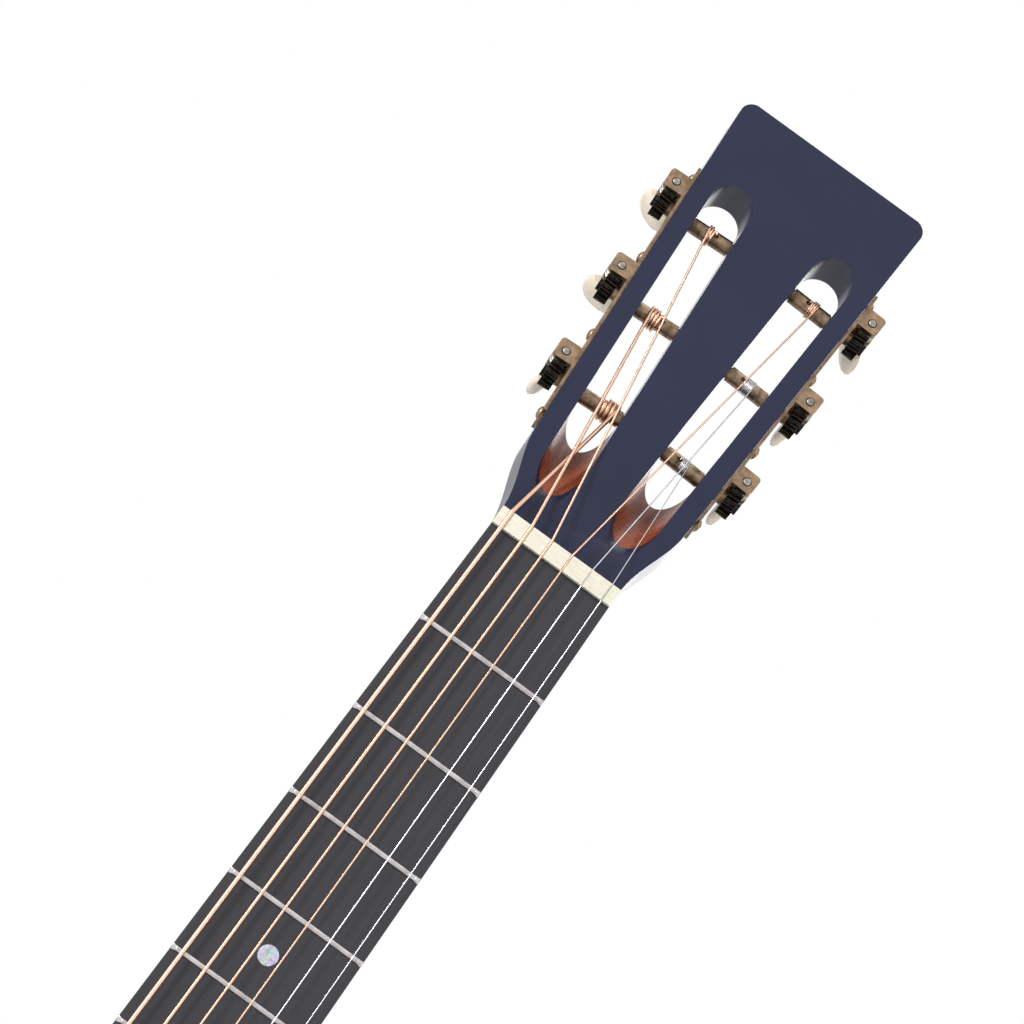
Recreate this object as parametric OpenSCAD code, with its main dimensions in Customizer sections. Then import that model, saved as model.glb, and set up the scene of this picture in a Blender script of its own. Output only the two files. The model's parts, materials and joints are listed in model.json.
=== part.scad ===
// Acoustic guitar: small body, twelve frets clear, slotted headstock with open-geared tuners.
// Upright frame: strings face -Y, the neck runs up +Z, bass side at -X, millimetres.
// The origin is at the string edge of the nut, on the crown of the fingerboard.

/* [View] */
// which piece to draw

/* [Scale and neck] */
// open string length from nut to the uncompensated saddle
scale_length = 628.65; // [600:0.05:660]
// number of frets on the board
fret_count = 19; // [12:1:21]
// fret at which the neck meets the body
body_fret = 12; // [12:1:14]
// width of the board at the nut
nut_width = 42.86; // [40:0.02:50]
// widening of each edge of the board for each millimetre of length
edge_slope = 0.0184; // [0.01:0.0001:0.03]
// radius of the crown of the fingerboard
board_radius = 406; // [250:1:600]
// thickness of the fingerboard on its centre line
board_thickness = 6; // [4:0.1:8]
// length of the nut along the strings
nut_length = 6.0; // [4:0.1:8]
// depth of the neck wood behind the board at the nut
neck_depth = 15.5; // [12:0.5:20]
// depth of the neck wood behind the board at the heel
neck_depth_heel = 18; // [14:0.5:24]

/* [Headstock] */
// backward tilt of the headstock face
head_angle = 15.5; // [8:0.1:20]
// length of the headstock face above the nut
head_length = 168.5; // [140:0.5:200]
// thickness of the headstock with its face veneer
head_thickness = 15.5; // [13:0.5:20]
// thickness of the face veneer
veneer = 2; // [0.5:0.1:3]
// half width of the head where its straight sides would meet the nut
side_start = 26.10; // [22:0.05:32]
// outward lean of each straight side
splay = 2.85; // [0:0.05:5]
// length of the curved flare above the nut
flare_length = 28; // [15:1:45]
// radius of the two corners at the tip
tip_radius = 4.5; // [0:0.5:12]
// width of each string slot
slot_width = 14.2; // [10:0.1:20]
// distance of the slot centre line inside the side of the head
slot_inset = 13.53; // [10:0.01:20]

/* [Tuners] */
// distance from the head's base to the first pair of rollers
first_post = 51.6; // [40:0.1:70]
// spacing of the rollers along the head
post_spacing = 36; // [30:0.1:42]
// depth of the roller axes behind the face
roller_depth = 7.75; // [6:0.05:10]
// radius of the brass roller
roller_radius = 2.6; // [2:0.1:5]
// teeth on each gear, which is the number of turns of the knob for one of the roller
gear_teeth = 14; // [10:1:20]
// pitch radius of the gear
gear_pitch_radius = 4.2; // [3:0.05:6]
// distance between the worm axis and the roller axis
centre_distance = 7.0; // [5:0.1:9]
// height of the worm axis above the wood of the head's side
worm_height = 4.6; // [4:0.1:7]
// knob angles at rest, first string to sixth
knob_angles = [16, 11, -37, 63, 79, -28];

/* [Body] */
// body length
body_length = 498; // [440:1:530]
// width across the upper bout
upper_bout = 248; // [220:1:300]
// width across the waist
waist = 218; // [180:1:260]
// width across the lower bout
lower_bout = 360; // [320:1:420]
// depth of the body at the neck
depth_neck = 84; // [70:1:110]
// depth of the body at the tail
depth_tail = 103; // [80:1:130]
// thickness of the soundboard and of the back
plate_thickness = 2.6; // [2:0.1:4]
// thickness of the bent sides
side_thickness = 2.2; // [1.5:0.1:4]
// radius of the soundhole
soundhole_radius = 49; // [40:0.5:55]
// spread of the outer strings at the saddle
saddle_spread = 55; // [50:0.5:60]
// spread of the outer strings at the nut
nut_spread = 36.7; // [32:0.1:42]

/* [Hidden] */
$fn = 48;
gap = 0.05;
eps = 0.01;
half_nut = nut_width / 2;
function fret_z(n) = -scale_length * (1 - pow(2, -n / 12));
function edge_x(z) = half_nut - edge_slope * z;
body_top = fret_z(body_fret);
board_end = fret_z(fret_count) - 6;
top_y = board_thickness;
face_drop = 2.73;
hole_z = board_end - 5 - soundhole_radius;
back_tilt = atan((depth_tail - depth_neck) / body_length);

// tuner sizes
worm_pitch = 2 * PI * gear_pitch_radius / gear_teeth;
worm_pitch_radius = centre_distance - gear_pitch_radius;
addendum = 0.42;
dedendum = 0.65;
shaft_radius = 1.45;
gear_width = 4.2;
plate_metal = 1.0;
ear_inner = 3.0;
ear_thick = 1.9;
ear_half = 3.2;
ear_tip = 3.9;
ear_corner = 1.3;
barrel_inner = -slot_inset - slot_width / 2 + 0.3;
barrel_outer = -slot_inset + slot_width / 2 - 0.3;
slot_end = 132.6;
screw_places = [38.6, 71, 103.6, 137];
plate_start = 34.4;
plate_stop = 140.6;
knob_centre = 15.9;
knob_thin = 2.5;
knob_deep = 7.6;
knob_wide = 6.9;
knob_face = 5.6;
function side_of(n) = n <= 3 ? 1 : -1;
function post_place(n) = first_post + post_spacing * (n <= 3 ? n - 1 : 6 - n);
// where each string meets its roller, measured outward from the slot's centre
wrap_shift = [0.3, 0.5, 1.0, 0.7, 1.3, -2.5];
string_radius = [0.15, 0.205, 0.305, 0.405, 0.535, 0.685];
wrap_turns = [6, 6, 3, 2, 3, 3];

// body outline arcs, each tangent to the next: shoulder, upper bout, waist, lower bout, tail
bout_r = 82;
low_r = 125;
shoulder_drop = 108;
bout_x = upper_bout / 2 - bout_r;
shoulder_r = (bout_x * bout_x / (shoulder_drop - bout_r) + shoulder_drop + bout_r) / 2;
waist_drop = 186;
waist_gap = bout_x + bout_r - waist / 2;
waist_r = (pow(waist_drop - shoulder_drop, 2) / waist_gap - (waist_gap + 2 * (waist / 2 - bout_x))) / 2;
waist_x = waist / 2 + waist_r;
low_x = lower_bout / 2 - low_r;
low_drop = waist_drop + sqrt(pow(waist_r + low_r, 2) - pow(waist_x - low_x, 2));
tail_gap = body_length - low_drop - low_r;
tail_r = (low_x * low_x / tail_gap + tail_gap) / 2 + low_r;
tail_drop = body_length - tail_r;
function arc(c, r, a0, a1, n) = [for (i = [0 : n - 1]) let (a = a0 + (a1 - a0) * i / n)
    [c[0] + r * cos(a), c[1] + r * sin(a)]];
function angle(a, b) = atan2(b[1] - a[1], b[0] - a[0]);
shoulder_c = [0, shoulder_r];
bout_c = [bout_x, shoulder_drop];
waist_c = [waist_x, waist_drop];
low_c = [low_x, low_drop];
tail_c = [0, tail_drop];
a_one = angle(shoulder_c, bout_c);
a_two = angle(bout_c, waist_c);
a_three = angle(waist_c, low_c);
a_four = angle(tail_c, low_c);
function half_outline(d) = concat(
    arc(shoulder_c, shoulder_r - d, -90, a_one, 8),
    arc(bout_c, bout_r - d, a_one, a_two, 16),
    arc(waist_c, waist_r + d, a_two + 180, a_three, 12),
    arc(low_c, low_r - d, a_three - 180, a_four, 22),
    arc(tail_c, tail_r - d, a_four, 90, 7),
    [[0, body_length - d]]);
function flip(p) = [for (i = [len(p) - 2 : -1 : 1]) [-p[i][0], p[i][1]]];
module outline(d) {
    h = half_outline(d);
    translate([0, -body_top]) polygon(concat(h, flip(h)));
}

// a prism of a plan drawn in x and depth-down, from y0 to y1
module through(y0, y1) translate([0, y0, 0]) rotate([-90, 0, 0]) linear_extrude(height = y1 - y0) children();
// everything between two depths inside the outer plane of the back
module back_slab(t0, t1) translate([0, top_y + depth_neck, body_top]) rotate([back_tilt, 0, 0])
    translate([-300, -t1, -600]) cube([600, t1 - t0, 700]);
module ring(outer, inner) difference() {
    outline(outer);
    outline(inner);
}

// the headstock's own frame: x across, y into the wood, z up the face
module head_frame() translate([0, face_drop, nut_length]) rotate([-head_angle, 0, 0]) children();
module face_plate(d0, d1) translate([0, d1, 0]) rotate([90, 0, 0])
    linear_extrude(height = d1 - d0) children();
module side_frame(side) head_frame() mirror([side < 0 ? 1 : 0, 0, 0])
    translate([side_start, 0, 0]) rotate([0, splay, 0]) children();
module post_frame(n) side_frame(side_of(n)) translate([0, roller_depth, post_place(n)]) children();
module worm_frame(n) post_frame(n) translate([worm_height, 0, centre_distance]) children();
// a rod along local x or local y
module rod_x(r, x0, x1) translate([x0, 0, 0]) rotate([0, 90, 0]) cylinder(r = r, h = x1 - x0);
module rod_y(r, y0, y1) translate([0, y1, 0]) rotate([90, 0, 0]) cylinder(r = r, h = y1 - y0);

function side_x(s) = side_start + s * tan(splay);
function smooth(t) = t * t * (3 - 2 * t);
function head_x(s) = half_nut + (side_x(s) - half_nut) * smooth(min(1, s / flare_length));
module head_plan(low = 0) {
    edge = [for (s = [0 : 2 : flare_length]) [head_x(s), s]];
    tip = arc([side_x(head_length) - tip_radius - 0.22, head_length - tip_radius], tip_radius, 3, 93, 6);
    right = concat([[half_nut, -low]], edge, tip);
    polygon(concat(right, [for (i = [len(right) - 1 : -1 : 0]) [-right[i][0], right[i][1]]]));
}
// each slot ends at the nut in a round trough that a tilted cutter leaves
trough_front = 24.6;
trough_back = 53.3;
trough_angle = atan(head_thickness / (trough_back - trough_front));
module slot_cut() translate([-slot_inset, 0, 0]) {
    face_plate(-1, head_thickness + 6) {
        translate([0, slot_end]) circle(d = slot_width);
        translate([-slot_width / 2, trough_back + 4]) square([slot_width, slot_end - trough_back - 4]);
    }
    rotate([90, 0, 90]) translate([0, 0, -slot_width / 2 + 0.06]) linear_extrude(height = slot_width - 0.12)
        polygon([[-1, trough_front - 1.9], [head_thickness + 1, trough_back + 1.9],
            [head_thickness + 1, slot_end - 3], [-1, slot_end - 3]]);
    translate([0, head_thickness, trough_back]) rotate([-trough_angle, 0, 0])
        translate([0, 0, -60]) cylinder(d = slot_width, h = 84);
}

// the rounded section of the neck wood, at one place along the strings
module neck_slice(z, depth) translate([0, top_y, z]) rotate([-90, 0, 0]) rotate([90, 0, 0])
    linear_extrude(height = 0.5) polygon([for (i = [0 : 20]) let (a = 180 * i / 20)
        [edge_x(z) * sign(cos(a)) * pow(abs(cos(a)), 0.85), depth * pow(abs(sin(a)), 0.9)]]);
heel_flat = 300;
heel_arc = 60;
module heel() intersection() {
    translate([-40, 0, 0]) rotate([90, 0, 90]) linear_extrude(height = 80)
        polygon(concat([[top_y, heel_arc - heel_flat]],
            arc([top_y + depth_neck - 6, heel_arc - heel_flat], heel_arc, 180, 270, 14),
            [[top_y + depth_neck - 6, -heel_flat], [top_y + depth_neck - 3, -heel_flat],
             [top_y + depth_neck - 3, body_top - 8], [top_y, body_top - 8]]));
    translate([0, top_y, body_top - 8]) rotate([-90, 0, 0]) linear_extrude(height = depth_neck)
        polygon([for (i = [0 : 24]) let (a = 180 * i / 24)
            [edge_x(body_top) * cos(a), -82 * pow(sin(a), 0.7)]]);
}
module neck() color([0.07, 0.08, 0.12]) difference() {
    union() {
        hull() {
            neck_slice(-8, neck_depth);
            neck_slice(body_top - 4, neck_depth_heel);
        }
        hull() {
            neck_slice(-16, neck_depth - 0.15);
            head_frame() translate([0, 0, 20]) face_plate(veneer + 0.5, head_thickness - 0.1)
                translate([0.3 - half_nut, 0]) square([nut_width - 0.6, 1]);
            head_frame() face_plate(veneer + 0.5, head_thickness - 0.1)
                translate([0.2 - half_nut, 0.5]) square([nut_width - 0.4, 1]);
        }
        head_frame() face_plate(veneer, head_thickness) head_plan();
        heel();
    }
    translate([-40, -30, -400]) cube([80, 30 + top_y, 400 + nut_length]);
    for (side = [-1, 1]) side_frame(side) slot_cut();
    for (n = [1 : 6]) post_frame(n) {
        rod_x(3.0, -slot_inset, 10);
        rod_x(2.06, -slot_inset - slot_width / 2 - 5.3, -slot_inset);
    }
    for (side = [-1, 1], a = screw_places) side_frame(side) translate([0, roller_depth, a])
        rod_x(0.85, -5.4, 1);
    through(top_y - 1, top_y + depth_neck + 9) outline(-gap);
    translate([-3.1, top_y - 1, body_top - 9]) cube([6.2, 1 + 8.5, -body_top - 3]);
}
module headplate() color([0.06, 0.07, 0.11]) difference() {
    head_frame() face_plate(0, veneer - gap / 5) head_plan(3);
    translate([-40, -10, -10]) cube([80, 30, 10 + nut_length + eps]);
    for (side = [-1, 1]) side_frame(side) slot_cut();
}
// inside of the crown that the board, nut and markers share
module crown(lift, z0, z1) translate([0, board_radius, z0])
    cylinder(r = board_radius + lift, h = z1 - z0, $fn = 360);
module board_plan(z0, z1, inset = 0) polygon([[edge_x(z0) - inset, -z0], [edge_x(z1) - inset, -z1],
    [-edge_x(z1) + inset, -z1], [-edge_x(z0) + inset, -z0]]);
marker_frets = [5, 7, 9, 12, 12, 15];
function marker_x(i) = i == 3 ? -9 : i == 4 ? 9 : 0;
function between(n) = (fret_z(n - 1) + fret_z(n)) / 2;
module dots(r, depth) for (i = [0 : 5]) translate([marker_x(i), -3, between(marker_frets[i])])
    rod_y(r, 0, 3 + depth);
side_frets = [5, 7, 9, 12];
module side_dot_rods(r, depth) for (f = side_frets) translate([-edge_x(between(f)) - 1, 3, between(f)])
    rod_x(r, 0, 1 + depth);
tang = 0.6;
tang_depth = 1.8;
module fingerboard() color([0.23, 0.23, 0.24]) difference() {
    intersection() {
        through(-3, top_y - 0.01) board_plan(-gap, board_end);
        crown(0, board_end - 1, 1);
    }
    for (n = [1 : fret_count]) translate([-40, -1, fret_z(n) - tang / 2 - 0.02])
        cube([80, 1 + tang_depth + 1.2, tang + 0.04]);
    dots(3.2, 1.5);
    side_dot_rods(1.02, 1.5);
}
// one fret: a half-round crown on a thin tang, bent to the crown of the board
module fret(n) translate([0, board_radius, fret_z(n)]) {
    half = asin((edge_x(fret_z(n)) - 0.2) / board_radius);
    rotate([0, 0, -90 - half]) rotate_extrude(angle = 2 * half, $fn = 360) {
        intersection() {
            translate([board_radius - 0.1, 0]) circle(r = 1.15, $fn = 32);
            translate([board_radius + eps, -2]) square([2, 4]);
        }
        translate([board_radius - tang_depth, -tang / 2]) square([tang_depth + 0.3, tang]);
    }
}
module frets() color([0.8, 0.8, 0.82]) for (n = [1 : fret_count]) fret(n);
module position_markers() color([0.75, 0.8, 0.85]) intersection() {
    dots(3.175, 1.45);
    crown(0, board_end, 0);
}
module side_markers() color([0.9, 0.88, 0.8]) intersection() {
    side_dot_rods(1.0, 1.45);
    through(-1, top_y) board_plan(-gap, board_end);
}
function string_u(n) = (3.5 - n) / 5;
nut_rise = 2.1;
function nut_x(n) = nut_spread * string_u(n);
function crown_y(x, lift) = board_radius - sqrt(pow(board_radius + lift, 2) - x * x);
function nut_y(n) = crown_y(nut_x(n), 1.0) - 0.45 - string_radius[n - 1];
module nut() color([0.94, 0.92, 0.86]) difference() {
    intersection() {
        translate([-half_nut, -4, 0]) cube([nut_width, 4 + top_y - 0.01, nut_length]);
        crown(nut_rise, -1, nut_length + 1);
    }
    for (n = [1 : 6]) translate([nut_x(n), nut_y(n), -1]) {
        cylinder(r = string_radius[n - 1] + gap, h = nut_length + 2);
        translate([-string_radius[n - 1] - gap, -5, 0])
            cube([2 * string_radius[n - 1] + 2 * gap, 5, nut_length + 2]);
    }
    translate([-40, crown_y(0, nut_rise), nut_length]) rotate([-35, 0, 0])
        translate([0, -5, -0.6]) cube([80, 5.6, 6]);
}
module truss_rod() color([0.6, 0.6, 0.62]) {
    translate([0, top_y + 5.4, body_top + 2]) cylinder(r = 2.8, h = -body_top - 17);
    translate([-2.9, top_y + 1.2, body_top + 2]) cube([5.8, 3, -body_top - 17]);
}
module heel_cap() color([0.93, 0.9, 0.82]) difference() {
    intersection() {
        translate([-40, top_y + depth_neck - 3 + eps, -heel_flat - 30]) cube([80, 2.6, 30]);
        translate([0, top_y, body_top - 8]) rotate([-90, 0, 0]) linear_extrude(height = depth_neck)
            polygon([for (i = [0 : 24]) let (a = 180 * i / 24)
                [edge_x(body_top) * cos(a), -82 * pow(sin(a), 0.7)]]);
    }
    through(top_y - 1, top_y + depth_neck + 9) outline(-gap);
}

binding_wide = 1.8;
binding_deep = 6;
rosette_in = 53;
rosette_out = 60;
lining_in = 8;
pin_row = -scale_length - 14;
pin_spread = 56;
function pin_x(n) = pin_spread * string_u(n);
module pin_holes(r, y0, y1) for (n = [1 : 6]) translate([pin_x(n), 0, pin_row]) rod_y(r, y0, y1);
module string_slots(y0, y1) for (n = [1 : 6]) translate([pin_x(n) - string_radius[n - 1] - 0.15, y0, pin_row])
    cube([2 * string_radius[n - 1] + 0.3, y1 - y0, 2.6 + 2 * string_radius[n - 1]]);
module soundboard() color([0.07, 0.08, 0.12]) difference() {
    through(top_y, top_y + plate_thickness) outline(binding_wide + eps);
    translate([0, 0, hole_z]) {
        rod_y(soundhole_radius, 0, 20);
        difference() {
            rod_y(rosette_out + 0.02, 0, top_y + 1.02);
            rod_y(rosette_in - 0.02, -1, 30);
        }
    }
    pin_holes(2.45, 0, 20);
    string_slots(0, 20);
}
module back() color([0.07, 0.08, 0.12]) intersection() {
    through(top_y + 20, top_y + depth_tail + 10) outline(binding_wide + eps);
    back_slab(0, plate_thickness);
}
end_pin_y = top_y + 50;
module side_half(s) color([0.07, 0.08, 0.12]) difference() {
    intersection() {
        through(top_y + binding_deep + eps, top_y + depth_tail + 10) ring(0, side_thickness);
        back_slab(binding_deep + eps, 200);
        translate([s < 0 ? -300 : eps, -10, body_top - body_length - 10]) cube([300, 200, body_length + 20]);
    }
    translate([0, end_pin_y, body_top - body_length - 20]) cylinder(r = 4.55, h = 60);
}
module side_bass() side_half(-1);
module side_treble() side_half(1);
block_half = 34;
module block_zone(grow) {
    translate([-block_half - grow, 0, body_top - 58 - grow]) cube([2 * block_half + 2 * grow, 200, 80]);
    translate([-block_half - grow, 0, body_top - body_length - 20])
        cube([2 * block_half + 2 * grow, 200, 42 + grow]);
}
module linings() color([0.75, 0.6, 0.42]) difference() {
    union() {
        through(top_y + plate_thickness + eps, top_y + plate_thickness + 14)
            ring(side_thickness + eps, lining_in);
        intersection() {
            through(top_y + 20, top_y + depth_tail + 10) ring(side_thickness + eps, lining_in);
            back_slab(plate_thickness + eps, plate_thickness + 14);
        }
    }
    block_zone(gap);
}
module block_piece(low) intersection() {
    through(top_y + plate_thickness + eps, top_y + depth_tail + 10) outline(side_thickness + eps);
    back_slab(plate_thickness + eps, 200);
    block_zone(0);
    translate([-100, 0, low ? body_top - body_length - 20 : body_top - 100]) cube([200, 200, 120]);
}
module neck_block() color([0.55, 0.35, 0.2]) block_piece(false);
module end_block() color([0.55, 0.35, 0.2]) difference() {
    block_piece(true);
    translate([0, end_pin_y, body_top - body_length - 20]) cylinder(r = 4.55, h = 80);
}
// a brace bar under the soundboard, centred at x and z, turned by an angle
brace_y = top_y + plate_thickness + eps;
module bar(x, z, turn, length, wide, high) translate([x, brace_y, z]) rotate([0, turn, 0])
    translate([-length / 2, 0, -wide / 2]) cube([length, high, wide]);
cross_z = hole_z - soundhole_radius - 25;
module top_braces() color([0.85, 0.72, 0.5]) intersection() {
    union() {
        bar(0, cross_z, 40, 470, 7, 14);
        bar(0, cross_z, -40, 470, 7, 14);
        bar(0, hole_z + soundhole_radius + 20, 0, 400, 9, 13);
        bar(-24, cross_z - 152, 28, 150, 7, 9);
        bar(14, cross_z - 205, 28, 140, 7, 9);
        bar(118, cross_z - 24, -58, 90, 6, 7);
        bar(-118, cross_z - 24, 58, 90, 6, 7);
    }
    difference() {
        through(top_y, top_y + 40) outline(lining_in + gap);
        block_zone(gap);
    }
}
module bridge_plate() color([0.5, 0.33, 0.2]) difference() {
    translate([-62, brace_y, pin_row - 20]) cube([124, 2.5, 38]);
    pin_holes(2.45, 0, 20);
    string_slots(0, 20);
    bar(-24, cross_z - 152, 28, 150, 7.1, 9);
}
module back_braces() color([0.85, 0.72, 0.5]) for (d = [95, 190, 290, 400]) intersection() {
    through(top_y + 20, top_y + depth_tail + 10) outline(lining_in + gap);
    back_slab(plate_thickness + eps, plate_thickness + 13);
    translate([-300, 0, body_top - d - 5]) cube([600, 200, d < 250 ? 8 : 12]);
}
module top_binding() color([0.93, 0.9, 0.82]) through(top_y, top_y + binding_deep) ring(0, binding_wide);
module back_binding() color([0.93, 0.9, 0.82]) intersection() {
    through(top_y + 20, top_y + depth_tail + 10) ring(0, binding_wide);
    back_slab(0, binding_deep);
}
module rosette() color([0.9, 0.87, 0.78]) translate([0, 0, hole_z]) difference() {
    rod_y(rosette_out, top_y, top_y + 1);
    rod_y(rosette_in, 0, 30);
}
module pickguard() color([0.3, 0.13, 0.06]) intersection() {
    translate([0, 0, hole_z]) difference() {
        translate([8, 0, -6]) rod_y(102, top_y - 1.2, top_y - eps);
        rod_y(rosette_out + 1.5, -10, 30);
    }
    translate([95, 0, hole_z - 68]) rod_y(66, top_y - 3, top_y + 3);
    translate([edge_x(board_end) + 4, -5, -700]) cube([200, 20, 400]);
}
bridge_long = 152;
bridge_wide = 28;
bridge_high = 8.5;
bridge_z = pin_row + 5;
saddle_tilt = atan(3.2 / 72);
saddle_z = -scale_length - 2.6;
module saddle_frame() translate([0, 0, saddle_z]) rotate([0, -saddle_tilt, 0]) children();
module bridge() color([0.16, 0.11, 0.08]) difference() {
    translate([0, top_y - gap / 5, bridge_z - bridge_wide / 2]) linear_extrude(height = bridge_wide)
        polygon([[-bridge_long / 2, 0], [-bridge_long / 2, -3], [-48, -bridge_high + 1.5],
            [-42, -bridge_high], [42, -bridge_high], [48, -bridge_high + 1.5],
            [bridge_long / 2, -3], [bridge_long / 2, 0]]);
    saddle_frame() translate([-36.1, -20, -1.65]) cube([72.2, 22, 3.3]);
    pin_holes(2.45, -20, 20);
    string_slots(-20, 20);
}
function string_x(n) = saddle_spread * string_u(n);
saddle_y = -5.6;
module saddle() color([0.94, 0.92, 0.86]) saddle_frame() intersection() {
    translate([-36, -20, -1.6]) cube([72, 21.95, 3.2]);
    translate([0, board_radius + saddle_y, -5]) cylinder(r = board_radius, h = 10, $fn = 360);
}
pin_head_y = top_y - bridge_high;
module bridge_pins() color([0.93, 0.9, 0.82]) difference() {
    for (n = [1 : 6]) translate([pin_x(n), 0, pin_row]) {
        rod_y(2.35, pin_head_y - 0.4, top_y + plate_thickness + 8);
        translate([0, pin_head_y - 0.3, 0]) rotate([90, 0, 0]) rotate_extrude()
            polygon(concat([[0, 0], [3.6, 0]], [for (i = [0 : 6]) [3.9 * cos(15 * i), 0.9 + 2.4 * sin(15 * i)]]));
    }
    string_slots(pin_head_y - 1.7, 20);
}
// the strap button: a turned pin with a waist, in the end block
module end_pin() color([0.93, 0.9, 0.82]) translate([0, end_pin_y, body_top - body_length]) mirror([0, 0, 1]) {
    translate([0, 0, -28]) cylinder(r = 4.5, h = 28.5);
    rotate_extrude() polygon([[0, 0.05], [5.2, 0.05], [4.6, 1.5], [4.4, 3.5], [4.8, 5.5],
        [6.5, 6.6], [6.5, 10.6], [5.6, 11.6], [3.6, 12.4], [0, 12.6]]);
}

// one brass side plate with the pairs of ears that carry its three worms
module ear(y0) translate([0, y0 + ear_thick, 0]) rotate([90, 0, 0]) linear_extrude(height = ear_thick) {
    translate([plate_metal - worm_height - 0.2, -ear_half])
        square([worm_height + 0.2 - plate_metal + ear_half - ear_corner, ear_half + ear_tip]);
    for (s = [ear_corner - ear_half, ear_tip - ear_corner]) translate([ear_half - ear_corner, s])
        circle(r = ear_corner);
    translate([0, ear_corner - ear_half]) square([ear_half, ear_half + ear_tip - 2 * ear_corner]);
}
module tuner_plate(side) color([0.6, 0.5, 0.36]) difference() {
    union() {
        side_frame(side) translate([gap, roller_depth - 5.5, plate_start]) {
            translate([0, 0, 3]) cube([plate_metal, 11, plate_stop - plate_start - 6]);
            translate([0, 2.5, 0]) cube([plate_metal, 6, plate_stop - plate_start]);
        }
        for (n = side > 0 ? [1, 2, 3] : [4, 5, 6]) worm_frame(n) {
            ear(-ear_inner - ear_thick);
            ear(ear_inner);
        }
    }
    for (n = side > 0 ? [1, 2, 3] : [4, 5, 6]) {
        worm_frame(n) rod_y(shaft_radius + gap, -20, 20);
        post_frame(n) rod_x(2.25, -5, 5);
    }
    for (a = screw_places) side_frame(side) translate([0, roller_depth, a]) rod_x(1.1, -1, 3);
}
module tuner_plate_bass() tuner_plate(-1);
module tuner_plate_treble() tuner_plate(1);
module tuner_screws() color([0.62, 0.52, 0.38]) for (side = [-1, 1], a = screw_places)
    side_frame(side) translate([plate_metal + gap, roller_depth, a]) difference() {
        union() {
            rod_x(0.8, -6, 0.1);
            rotate([0, 90, 0]) rotate_extrude() polygon(concat([[0, 0.02]],
                [for (i = [0 : 6]) [2.1 * cos(15 * i), 0.02 + 1.1 * sin(15 * i)]]));
        }
        translate([0.65, -3, -0.25]) cube([2, 6, 0.5]);
    }
// roller: journal in the middle of the head, barrel in the slot, neck through the plate, gear seat
module roller(n) color([0.45, 0.37, 0.24]) post_frame(n) difference() {
    union() {
        rod_x(2.0, barrel_inner - 5, barrel_inner + eps);
        rod_x(roller_radius, barrel_inner, barrel_outer);
        rod_x(2.2, barrel_outer - eps, worm_height - gear_width / 2 - 0.1);
        rod_x(1.6, 1, worm_height + gear_width / 2 - 0.6);
    }
    translate([hole_shift(n) - slot_inset, 0, 0]) rod_y(0.8, -5, 5);
}
function wrap_way(n) = wrap_shift[n - 1] < 0 ? 1 : -1;
function wrap_pitch(n) = 2 * string_radius[n - 1] + 0.08;
function wrap_half(n) = wrap_turns[n - 1] * wrap_pitch(n) / 2;
function hole_shift(n) = wrap_shift[n - 1] + wrap_way(n) * (wrap_half(n) + 1.1);
// tooth shape around a wheel: 1 on the crest, 0 in the gap, with sloping flanks
function tooth(t, crest, foot) = t < crest ? 1 : t < foot ? (foot - t) / (foot - crest) : 0;
function turn_part(a) = abs(a - floor(a + 0.5));
gear_twist = atan(gear_width * worm_pitch / (2 * PI * worm_pitch_radius) / gear_pitch_radius);
module gear_section() polygon([for (i = [0 : gear_teeth - 1], f = [[-0.3, 0], [-0.11, 1], [0.11, 1], [0.3, 0]])
    let (a = 360 * (i + 0.5 + f[0]) / gear_teeth,
        r = gear_pitch_radius - dedendum + f[1] * (addendum + dedendum))
    [r * cos(a), r * sin(a)]]);
module gear(n) color([0.1, 0.09, 0.09]) post_frame(n) translate([worm_height, 0, 0]) difference() {
    union() {
        rotate([0, 90, 0]) rotate([0, 0, 180 + gear_twist / 2]) translate([0, 0, -gear_width / 2])
            linear_extrude(height = gear_width, twist = gear_twist, slices = 2) gear_section();
        rod_x(2.0, gear_width / 2 - eps, gear_width / 2 + 1.0, $fn = 20);
    }
    rod_x(1.61, -gear_width, gear_width / 2 - 0.55);
    translate([gear_width / 2 + 0.45, -3, -0.3]) cube([2, 6, 0.6]);
}
worm_turns = 3;
worm_half = worm_turns * worm_pitch / 2;
module worm_section() polygon([for (i = [0 : 15]) let (a = 22.5 * i, t = turn_part(a / 360),
    r = worm_pitch_radius - dedendum + (addendum + dedendum) * tooth(t, 0.09, 0.31)) [r * cos(a), r * sin(a)]]);
module worm(n) color([0.5, 0.45, 0.38]) worm_frame(n) {
    translate([0, worm_half, 0]) rotate([90, 0, 0]) rotate([0, 0, -90 + 180 * worm_turns])
        linear_extrude(height = 2 * worm_half, twist = 360 * worm_turns, slices = 36, $fn = 16) worm_section();
    rod_y(shaft_radius, -ear_inner - ear_thick - 0.25, -worm_half + eps);
    rod_y(shaft_radius, worm_half - eps, knob_centre - 3);
    rod_y(2.4, ear_inner + ear_thick + 0.3, ear_inner + ear_thick + 1.3);
}
module knob(n) color([0.93, 0.89, 0.8]) worm_frame(n) rotate([0, knob_angles[n - 1], 0]) difference() {
    translate([0, knob_centre, 0]) scale([knob_thin, knob_deep, knob_wide]) sphere(r = 1, $fn = 26);
    rod_y(shaft_radius + 0.01, 0, knob_centre - 2.95);
    translate([-10, 0, -10]) cube([20, knob_centre - knob_face, 20]);
}

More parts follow.
